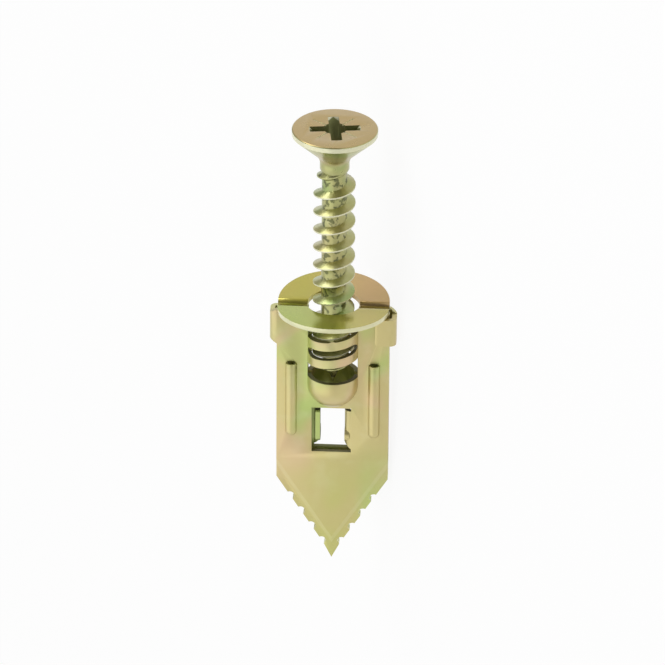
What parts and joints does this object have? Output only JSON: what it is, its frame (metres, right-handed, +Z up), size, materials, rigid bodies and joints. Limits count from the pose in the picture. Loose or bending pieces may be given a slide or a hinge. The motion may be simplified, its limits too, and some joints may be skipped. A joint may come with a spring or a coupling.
{
  "type": "hammer-in plasterboard anchor",
  "caption": "Two hooked sheet-steel halves with a split collar, serrated point and strip-cut screw channel, with a countersunk cross-recess screw.",
  "frame": {"origin": "middle of the bounding box's base, on the surface that the anchor lies on", "axes": "+Z up; +Y along the screw towards its head, within 2 degrees of level; +X to the right, seen from the point"},
  "size_m": [0.0128, 0.0518, 0.0123],
  "materials": {
    "sheet_zinc": "yellow-passivated zinc plating on sheet steel, satin-bright with faint green and pink drift",
    "screw_zinc": "yellow-passivated zinc plating on a rolled screw, bright"
  },
  "bodies": {
    "rear_half": {"rear_half": "sheet_zinc"},
    "front_half": {"front_half": "sheet_zinc"},
    "screw": {"screw": "screw_zinc"}
  },
  "joints": [
    {"name": "leg_spread", "type": "hinge", "parent": "rear_half", "child": "front_half", "pos_m": [0, 0.00241, 0.00609], "axis": [-0.4714, -0.0257, 0.8816], "range_deg": [0, 7]},
    {"name": "screw_travel", "type": "slide", "parent": "rear_half", "child": "screw", "axis": [0, 0.9996, 0.0291], "range_m": [-0.002, 0.0095]}
  ]
}
